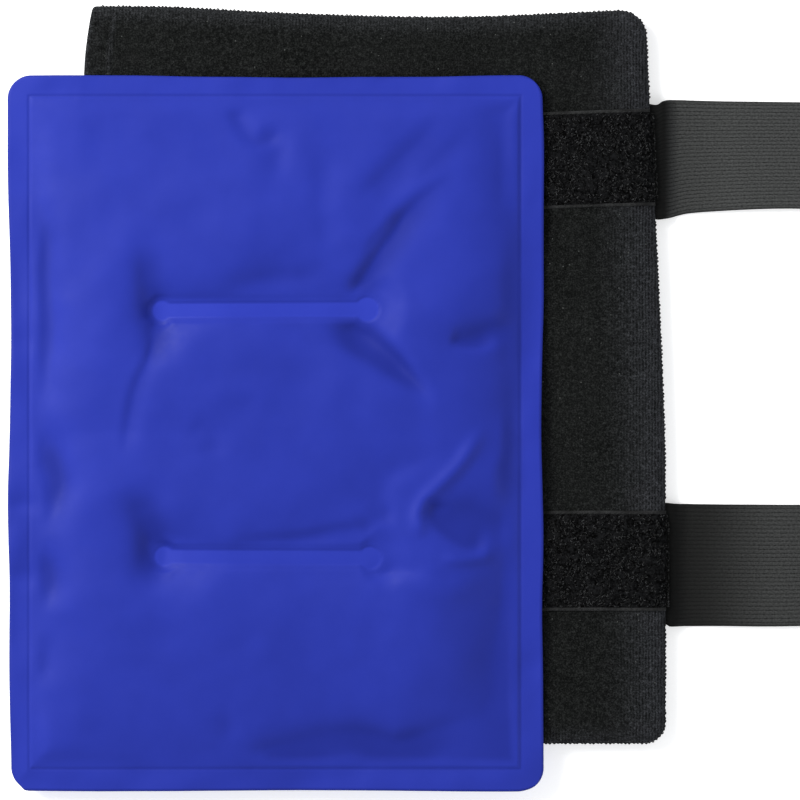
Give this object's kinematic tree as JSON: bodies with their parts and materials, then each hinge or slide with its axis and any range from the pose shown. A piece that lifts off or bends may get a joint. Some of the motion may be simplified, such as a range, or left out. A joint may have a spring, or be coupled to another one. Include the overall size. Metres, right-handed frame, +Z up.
{
  "type": "cold compression wrap",
  "caption": "Cold compression wrap: a dark fabric pocket cover with loop tapes and elastic hook-end straps, and a blue gel pack with welded baffles lying on it.",
  "frame": {"origin": "centre of the cover's underside, on the surface that the wrap lies on", "axes": "+X along the straps, away from the pocket's mouth; +Y towards the cover's top edge; +Z up from the surface, out of the front face"},
  "size_m": [0.8807, 0.4111, 0.0312],
  "materials": {
    "cover_knit": "brushed black knit",
    "cover_foam": "black laminated foam",
    "cover_lining": "black tricot lining",
    "loop_pile": "black curly loop pile",
    "thread": "black polyester thread",
    "elastic": "charcoal ribbed elastic webbing",
    "hook_tape": "black nylon hook tape",
    "blue_film": "satin royal-blue vinyl film",
    "gel": "soft blue gel"
  },
  "bodies": {
    "cover": {"cover_back_knit": "cover_knit", "cover_back_foam": "cover_foam", "cover_back_lining": "cover_lining", "cover_front_lining": "cover_lining", "cover_front_foam": "cover_foam", "cover_front_knit": "cover_knit", "seam_top_edge": "cover_knit", "seam_bottom_edge": "cover_knit", "seam_right_edge": "cover_knit", "mouth_hem_front": "cover_knit", "mouth_hem_back": "cover_knit", "mouth_hem_stitching": "thread", "edge_overlock_thread": "thread", "upper_loop_tape": "loop_pile", "lower_loop_tape": "loop_pile", "upper_loop_tape_stitching": "thread", "lower_loop_tape_stitching": "thread", "upper_strap_root": "elastic", "lower_strap_root": "elastic"},
    "gel_pack": {"gel_pack_top_film": "blue_film", "gel_pack_bottom_film": "blue_film", "gel_fill": "gel"},
    "upper_strap": {"upper_strap": "elastic"},
    "upper_tab": {"upper_strap_end": "elastic", "upper_hook_tab": "hook_tape", "upper_hook_tab_stitching": "thread"},
    "lower_strap": {"lower_strap": "elastic"},
    "lower_tab": {"lower_strap_end": "elastic", "lower_hook_tab": "hook_tape", "lower_hook_tab_stitching": "thread"}
  },
  "joints": [
    {"name": "gel_pack_lift", "type": "slide", "parent": "cover", "child": "gel_pack", "axis": [0, 0, 1], "range_m": [0, 0.2]},
    {"name": "upper_strap_fold", "type": "hinge", "parent": "cover", "child": "upper_strap", "pos_m": [0.1514, 0.115, 0.0074], "axis": [0, -1, 0], "range_deg": [0, 160]},
    {"name": "upper_tab_peel", "type": "hinge", "parent": "upper_strap", "child": "upper_tab", "pos_m": [0.5884, 0.115, 0.0019], "axis": [0, -1, 0], "range_deg": [0, 150]},
    {"name": "lower_strap_fold", "type": "hinge", "parent": "cover", "child": "lower_strap", "pos_m": [0.1566, -0.0965, 0.0074], "axis": [0, -1, 0], "range_deg": [0, 160]},
    {"name": "lower_tab_peel", "type": "hinge", "parent": "lower_strap", "child": "lower_tab", "pos_m": [0.5936, -0.0965, 0.0019], "axis": [0, -1, 0], "range_deg": [0, 150]}
  ]
}
